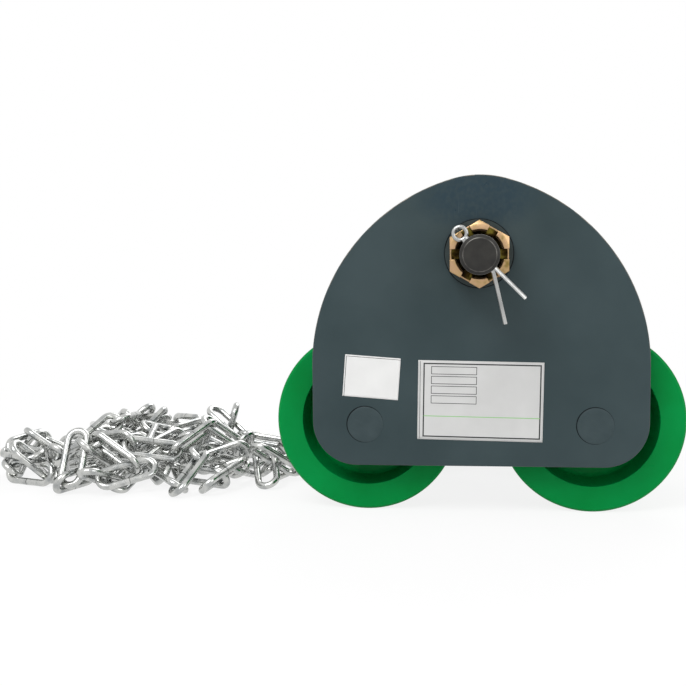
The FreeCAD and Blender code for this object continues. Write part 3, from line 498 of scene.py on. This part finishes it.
cast = Finish("painted_casting", (40, 40, 39), metallic=0.1, roughness=0.55, shine=0.3)
cast.clouds(10.0 * MM, (34, 34, 33), (47, 46, 44), detail=5.0)
cast.mottle(4.0 * MM, 0.46, 0.64)
cast.bump(cast.noise(2.6 * MM), 0.2 * MM)
cast.bump(cast.noise(0.8 * MM, detail=2.0), 0.05 * MM)

bare = Finish("rubbed_steel_edge", (92, 90, 86), metallic=0.7, roughness=0.42)
bare.clouds(4.0 * MM, (56, 55, 52), (106, 104, 100), detail=4.0, span=(0.35, 0.65))
bare.mottle(2.0 * MM, 0.36, 0.52)
print("dark finishes:", [f.material.name for f in (black, dark, rim, cast, bare)])

# %% [markdown]
# Bearings and shafts are plain steel with fine marks along their length, so the noise in its roughness is
# drawn out along Y. The bushes are bronze. Then every solid gets the finish that its material in CAD names.
# The finish goes on the object and not on the mesh, so that the solid's mesh stays as it came.

# %% Bronze, steel and a finish for each solid
bronze = Finish("bush_bronze", (186, 142, 78), metallic=1.0, roughness=0.35)
bronze.clouds(6.0 * MM, (168, 124, 62), (196, 152, 88))
bronze.mottle(2.0 * MM, 0.3, 0.45)

steel = Finish("plain_steel", (176, 177, 176), metallic=1.0, roughness=0.3)
steel.clouds(8.0 * MM, (160, 161, 160), (188, 189, 187))
steel.mottle(0.8 * MM, 0.24, 0.4, stretch=(1.0, 0.1, 1.0))

FINISHES = {"plate_paint": slate, "wheel_paint": green, "yellow_zinc": yellow, "black_steel": black,
            "bright_zinc": zinc, "bush_bronze": bronze, "plain_steel": steel}
slot_of = {}
for name, solid in nodes.items():
    slot_of[name] = solid.data.materials[0].name.split(".")[0]
    for place in solid.material_slots:
        place.link = "OBJECT"
        place.material = FINISHES[slot_of[name]].material
print({slot: sum(1 for s in slot_of.values() if s == slot) for slot in FINISHES})

# %% [markdown]
# A CAD solid has perfectly sharp edges, and no real edge is: it catches a thin line of light. Rounding
# them in CAD would cost many small faces, so a copy of each solid gets a Bevel modifier here instead. The
# copy's triangles are merged first, and flat ones joined, so that only true edges are left to round. The
# new strip along the edge may take a finish of its own.

# %% Helper for broken edges
SAME_POINT, SAME_PLANE = 0.001 * MM, math.radians(0.3)
TRUE_EDGE = math.radians(32.0)
BEVEL_STEPS = 2
STRIP_SLOT = 1
NORMAL_DATA = ("custom_normal", "sharp_face", "sharp_edge")


def edged(node, width, strip=None, finish=None):
    """A copy of a solid whose sharp edges are rounded to a width in metres; it stands for the solid."""
    mesh = bpy.data.meshes.new(node + "_edged")
    work = bmesh.new()
    work.from_mesh(nodes[node].data)
    bmesh.ops.remove_doubles(work, verts=work.verts, dist=SAME_POINT)
    bmesh.ops.dissolve_limit(work, angle_limit=SAME_PLANE, verts=work.verts, edges=work.edges)
    work.to_mesh(mesh)
    work.free()
    for name in NORMAL_DATA:
        if name in mesh.attributes:
            mesh.attributes.remove(mesh.attributes[name])
    mesh.materials.clear()
    mesh.materials.append((finish or FINISHES[slot_of[node]]).material)
    mesh.shade_smooth()
    piece = bpy.data.objects.new(node + "_edged", mesh)
    scene.collection.objects.link(piece)
    bevel = piece.modifiers.new("broken_edge", "BEVEL")
    bevel.width = width
    bevel.segments = BEVEL_STEPS
    bevel.limit_method = "ANGLE"
    bevel.angle_limit = TRUE_EDGE
    bevel.use_clamp_overlap = False
    bevel.harden_normals = True
    if strip is not None:
        mesh.materials.append(strip.material)
        bevel.material = STRIP_SLOT
    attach(piece, body_of[node])
    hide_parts(node)


print("edge helper is ready")

# %% [markdown]
# A cut and sprayed plate has a softer edge than a turned bolt, so each piece has a width of its own. The
# strip is worn paint on the plates and the chain guide, a nearly black painted shadow on the washers, and
# bare steel on the bolt and the hanger. The toothed wheels keep their sharp edges, because on them the bevel
# closes over the recess.

# %% Solids with broken edges
for side_name in ("front", "rear"):
    edged(side_name + "_side_plate", 0.5 * MM, strip=worn)
    # The washer's edge strip takes the nearly black painted shadow.
    edged(side_name + "_bolt_washer", 0.6 * MM, strip=rim, finish=dark)
    edged(side_name + "_slotted_nut", 0.35 * MM)
edged("load_bolt", 0.3 * MM, strip=bare)
edged("hanger_plate", 0.8 * MM, strip=bare)
edged("chain_wheel_nut", 0.4 * MM)
edged("chain_guide", 0.4 * MM, strip=worn)
edged("hand_chain_wheel", 0.6 * MM, finish=cast)
edged("front_left_wheel", 0.4 * MM)
edged("front_right_wheel", 0.4 * MM)

# %% [markdown]
# The small things that the solids leave out are surfaces worked out as arrays. They could be modelled by
# hand, but a formula keeps their sizes exact. Each is a grid of points: a function of two parameters, such
# as an angle and a place along a profile. These helpers join neighbours on the grid with four-cornered
# faces and put the mesh on its body.

# %% Helpers for surfaces
PLATE_FACE = 84.5 * MM
FRONT, REAR = -1.0, 1.0
FULL_TURN = 2.0 * np.pi
SAME_POLE = 0.0001 * MM


def grid_faces(rows, columns, round_rows, round_columns):
    """Faces between neighbours on a grid; a round direction joins its end to its start."""
    row = np.arange(rows if round_rows else rows - 1)[:, None]
    column = np.arange(columns if round_columns else columns - 1)[None, :]
    next_row, next_column = (row + 1) % rows, (column + 1) % columns
    corners = (row * columns + column, row * columns + next_column,
               next_row * columns + next_column, next_row * columns + column)
    return np.stack(np.broadcast_arrays(*corners), axis=-1).reshape(-1, 4)


def surface(name, points, finish, body, round_rows=False, round_columns=False):
    """A smooth piece through a grid of points, riding on a body; poles are merged and faces look outwards."""
    rows, columns = points.shape[:2]
    mesh = bpy.data.meshes.new(name)
    mesh.from_pydata(points.reshape(-1, 3).tolist(), [],
                     grid_faces(rows, columns, round_rows, round_columns).tolist())
    work = bmesh.new()
    work.from_mesh(mesh)
    bmesh.ops.remove_doubles(work, verts=work.verts, dist=SAME_POLE)
    bmesh.ops.recalc_face_normals(work, faces=work.faces)
    work.to_mesh(mesh)
    work.free()
    mesh.shade_smooth()
    mesh.materials.append(finish.material)
    piece = bpy.data.objects.new(name, mesh)
    scene.collection.objects.link(piece)
    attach(piece, body)
    return piece


def round_steps(steps):
    """Angles once round in even steps, without the last one, which would meet the first."""
    return np.linspace(0.0, FULL_TURN, steps, endpoint=False)


def turned(radius, along, x, z, steps):
    """Points of a profile turned about a line along Y: x + r cos a, y, z + r sin a, for every angle a."""
    angle = round_steps(steps)[None, :]
    radius, along = np.broadcast_arrays(radius, along)
    ring = radius[:, None] if radius.ndim == 1 else radius
    reach = along[:, None] if along.ndim == 1 else along
    return np.stack(np.broadcast_arrays(x + ring * np.cos(angle), reach, z + ring * np.sin(angle)), axis=-1)


print("surface helpers are ready")

# %% [markdown]
# Each axle is set into its plate and riveted over, ground flush and sprayed with the plate, so only a
# faint disc shows. The marks of the grinder run slantwise under the paint. They could be cut lines, but
# noise in a frame that is turned and drawn out along one axis gives the same as bump. A nearly black ring
# round the disc is painted shadow, for the shade in the gap.

# %% Ground paint and gap shadow
GRIND_GRAIN, GRIND_DRAWN = 1.0 / 550.0, (12.0, 1.0, 1.0)
GRIND_TURN = (0.0, math.radians(28.0), 0.0)

ground = Finish("ground_and_painted", (50, 64, 67), metallic=0.0, roughness=0.45, shine=0.25)
ground.clouds(12.0 * MM, (44, 58, 61), (53, 66, 69), detail=4.0)
ground.mottle(4.0 * MM, 0.36, 0.52)
grind_frame = ground.mapped(scale=GRIND_DRAWN, turn=GRIND_TURN, kind="TEXTURE")
ground.bump(ground.noise(GRIND_GRAIN, detail=2.0, source=grind_frame), 0.18 * MM)

# Painted shadow: a nearly black finish for the shade in the gap round each axle end.
gap = Finish("gap_shadow", (14, 20, 22), metallic=0.0, roughness=0.8, shine=0.1)
gap.clouds(4.0 * MM, (10, 15, 17), (24, 32, 35), span=(0.35, 0.7))
print("grinding marks about", round(GRIND_GRAIN / MM, 2), "mm apart")

# %% [markdown]
# The disc is a turned profile that stands a quarter of a millimetre proud with a soft rim, closed at the
# back. It sits a hair off centre in a dark ring of painted shadow, because the hole is a little larger than
# the axle, so the shaded gap shows as a crescent on one side, as it does on the real one. A drawn circle
# would be even all round.

# %% Painted axle ends
AXLE_X, AXLE_Z = 73.5 * MM, -48.0 * MM
AXLE_STEPS = 72
DISC_OFF_X, DISC_OFF_Z = 0.3 * MM, -0.22 * MM
disc_radius = np.array([0.0, 4.0, 8.0, 10.8, 11.25, 11.55, 11.7, 11.75, 0.0]) * MM
disc_rise = np.array([0.24, 0.25, 0.26, 0.26, 0.22, 0.13, 0.02, -0.1, -0.1]) * MM
ring_radius = np.array([11.0, 11.0, 12.05, 12.1]) * MM
ring_rise = np.array([-0.1, 0.05, 0.03, -0.1]) * MM

for side, side_name in ((FRONT, "front"), (REAR, "rear")):
    for x, end_name in ((-AXLE_X, "left"), (AXLE_X, "right")):
        disc = turned(disc_radius, side * (PLATE_FACE + disc_rise), x + DISC_OFF_X, AXLE_Z + DISC_OFF_Z,
                      AXLE_STEPS)
        surface(f"{side_name}_{end_name}_axle_end", disc, ground, "frame", round_columns=True)
        # The dark ring is painted shadow of the gap round the disc.
        gap_shade_ring = turned(ring_radius, side * (PLATE_FACE + ring_rise), x, AXLE_Z, AXLE_STEPS)
        surface(f"{side_name}_{end_name}_axle_gap_shadow", gap_shade_ring, gap, "frame",
                round_rows=True, round_columns=True)
print("four painted axle ends")

# %% [markdown]
# Two stickers sit on the front plate, a large one between the axles and a small one above the left axle,
# stuck on a few degrees askew. They are left blank: a pale film with printed frame lines and empty boxes.
# A picture could hold the lines, but drawn by the material they stay sharp: for each rectangle, a point's
# distance to the outline is the larger of its distances past the half width and the half height. A plain
# line is a rectangle with no width or no height.

# %% Printed film of the stickers
INK, RULE = (46, 48, 48), (140, 186, 128)
LARGE_TONE, SMALL_TONE, TONE_DRIFT = 193, 215, 4
LARGE_AT, LARGE_TILT = (0.9 * MM, -32.5 * MM), math.radians(1.1)
SMALL_AT, SMALL_TILT = (-68.9 * MM, -17.3 * MM), math.radians(4.4)


def printed_film(name, tone, at, tilt, lines):
    """Pale film with lines, each (middle x, middle z, half width, half height, thickness, colour) in mm."""
    film = Finish(name, (tone, tone, tone), metallic=0.0, roughness=0.38, shine=0.3)
    dull, pale = tone - TONE_DRIFT, tone + TONE_DRIFT
    colour = film.ramp(film.noise(20.0 * MM), (0.3, (dull, dull, dull - 1)), (0.7, (pale, pale, pale - 1)))
    x, z = at
    shift = (-(x * math.cos(tilt) - z * math.sin(tilt)), 0.0, -(x * math.sin(tilt) + z * math.cos(tilt)))
    place = film.mapped(turn=(0.0, -tilt, 0.0), shift=shift)
    across, upward = film.axis("X", place), film.axis("Z", place)

    def past(source, middle, half):
        """How far a place lies past the half size, on either side of the middle."""
        off = film.calc("ABSOLUTE", film.calc("SUBTRACT", source, middle * MM))
        return film.calc("SUBTRACT", off, half * MM)

    for middle_x, middle_z, half_wide, half_high, thick, ink in lines:
        outside = film.calc("MAXIMUM", past(across, middle_x, half_wide), past(upward, middle_z, half_high))
        on_line = film.calc("LESS_THAN", film.calc("ABSOLUTE", outside), thick / 2 * MM)
        colour = film.mix(on_line, colour, ink)
    film.feed("Base Color", colour)
    film.mottle(6.0 * MM, 0.32, 0.44)
    return film


large_lines = [(0.9, 0.0, 37.1, 23.6, 0.85, INK), (-38.6, 0.0, 0.0, 25.0, 0.3, INK),
               (0.9, -10.4, 36.7, 0.0, 0.6, RULE)]
large_lines += [(-17.0, row, 14.4, 2.4, 0.4, INK) for row in (19.3, 13.0, 6.7, 0.4)]
small_lines = [(0.9, -0.8, 18.0, 13.4, 0.35, INK)]
large_film = printed_film("large_sticker_film", LARGE_TONE, LARGE_AT, LARGE_TILT, large_lines)
small_film = printed_film("small_sticker_film", SMALL_TONE, SMALL_AT, SMALL_TILT, small_lines)
print("lines on the films:", len(large_lines), "and", len(small_lines))

# %% [markdown]
# A sticker is a thin sheet over two parameters, across and up, with a corner that lifts a little, and
# Solidify gives it the thickness of the film. Lines on the plate's own material would be simpler, but a
# real film has an edge that catches light.

# %% Blank stickers
LARGE_SIZE, LARGE_LIFT = (80.0 * MM, 51.4 * MM), 0.3 * MM
SMALL_SIZE, SMALL_LIFT = (36.1 * MM, 27.2 * MM), 0.2 * MM
FILM, FILM_GAP = 0.12 * MM, 0.02 * MM
SHEET_POINTS = (33, 25)
CURL_FROM = 0.75
INWARDS = -1.0


def sticker(name, finish, at, size, tilt, lift):
    """A sheet of points x + u w cos t + v h sin t, z - u w sin t + v h cos t that curls at one corner."""
    across, upward = np.meshgrid(*[np.linspace(-0.5, 0.5, count) for count in SHEET_POINTS], indexing="ij")
    curl = (np.clip(across + upward - CURL_FROM, 0.0, None) / (1.0 - CURL_FROM)) ** 2
    width, height = size
    points = np.stack([at[0] + across * width * math.cos(tilt) + upward * height * math.sin(tilt),
                       -(PLATE_FACE + FILM + FILM_GAP + lift * curl),
                       at[1] - across * width * math.sin(tilt) + upward * height * math.cos(tilt)], axis=-1)
    piece = surface(name, points, finish, "frame")
    outward = np.zeros(len(piece.data.polygons) * 3)
    piece.data.polygons.foreach_get("normal", outward)
    if outward[1::3].mean() > 0.0:
        piece.data.flip_normals()
    film = piece.modifiers.new("film", "SOLIDIFY")
    film.thickness = FILM
    film.offset = INWARDS


sticker("large_sticker", large_film, LARGE_AT, LARGE_SIZE, LARGE_TILT, LARGE_LIFT)
sticker("small_sticker", small_film, SMALL_AT, SMALL_SIZE, SMALL_TILT, SMALL_LIFT)
print("two blank stickers of", round(FILM / MM, 2), "mm film")

# %% [markdown]
# On the geared side the shaft tube is welded into its plate. A weld bead is a round roll with ripples, one
# for each dab of the torch: a torus whose thickness and place waver with the angle. A plain torus would
# look like a rubber ring.

# %% Weld bead
PINION_Z, TUBE_RADIUS = -16.413 * MM, 18.0 * MM
BEAD_RADIUS, BEAD_OUT, BEAD_RISE = 2.9 * MM, 0.5 * MM, 0.3 * MM
DABS, DAB_SHARE, DAB_LEAN = 40.0, 0.09, 0.12
SWELLS, SWELL_SHARE, SWELL_START = 7.0, 0.05, 1.0
LAP_STEPS, SECTION_STEPS = 240, 18

lap, section = round_steps(LAP_STEPS)[:, None], round_steps(SECTION_STEPS)[None, :]
dab, swell = np.sin(DABS * lap), np.sin(SWELLS * lap + SWELL_START)
bead = BEAD_RADIUS * (1.0 + DAB_SHARE * dab + SWELL_SHARE * swell)
bead_reach = TUBE_RADIUS + BEAD_OUT + bead * np.cos(section + DAB_LEAN * dab)
bead_points = np.stack([bead_reach * np.cos(lap), PLATE_FACE + BEAD_RISE + bead * np.sin(section),
                        PINION_Z + bead_reach * np.sin(lap)], axis=-1)
surface("tube_weld", bead_points, slate, "frame", round_rows=True, round_columns=True)
print("weld of", round(FULL_TURN * TUBE_RADIUS, 3), "m")

# %% [markdown]
# The end of the drive shaft carries a screw thread past its nut: a turned surface whose radius follows a
# ridge that climbs one pitch with each turn and sinks into the shaft at its end. Two more rows inside the
# shaft close it. A profile swept along a helix would do as well, but it is harder to end neatly.

# %% Shaft thread
THREAD_RADIUS, CORE_RADIUS, THREAD_PITCH = 8.0 * MM, 7.0 * MM, 2.0 * MM
THREAD_FROM, THREAD_TO, RUN_OUT = 198.6 * MM, 201.3 * MM, 0.5 * MM
SUNK, ROOT_RISE, RIDGE_RISE = 0.05 * MM, 0.07 * MM, 0.45 * MM
RIDGE_TOP, RIDGE_SLOPE = 1.5, 4.2
THREAD_ROWS, THREAD_STEPS = 55, 64

along = np.linspace(THREAD_FROM, THREAD_TO, THREAD_ROWS)[:, None]
climb = (along / THREAD_PITCH - round_steps(THREAD_STEPS)[None, :] / FULL_TURN) % 1.0
ridge = np.clip(RIDGE_TOP - RIDGE_SLOPE * np.abs(climb - 0.5), 0.0, 1.0)
fade = np.clip((THREAD_TO - along) / RUN_OUT, 0.0, 1.0)
thread_radius = THREAD_RADIUS - SUNK + fade * (ROOT_RISE + RIDGE_RISE * ridge)
core = np.full((2, THREAD_STEPS), CORE_RADIUS)
thread_points = turned(np.vstack([thread_radius, core]), np.vstack([along, [[THREAD_TO], [THREAD_FROM]]]),
                       0.0, PINION_Z, THREAD_STEPS)
surface("shaft_thread", thread_points, steel, "drive",
        round_rows=True, round_columns=True)
print("thread of", THREAD_PITCH / MM, "mm pitch")
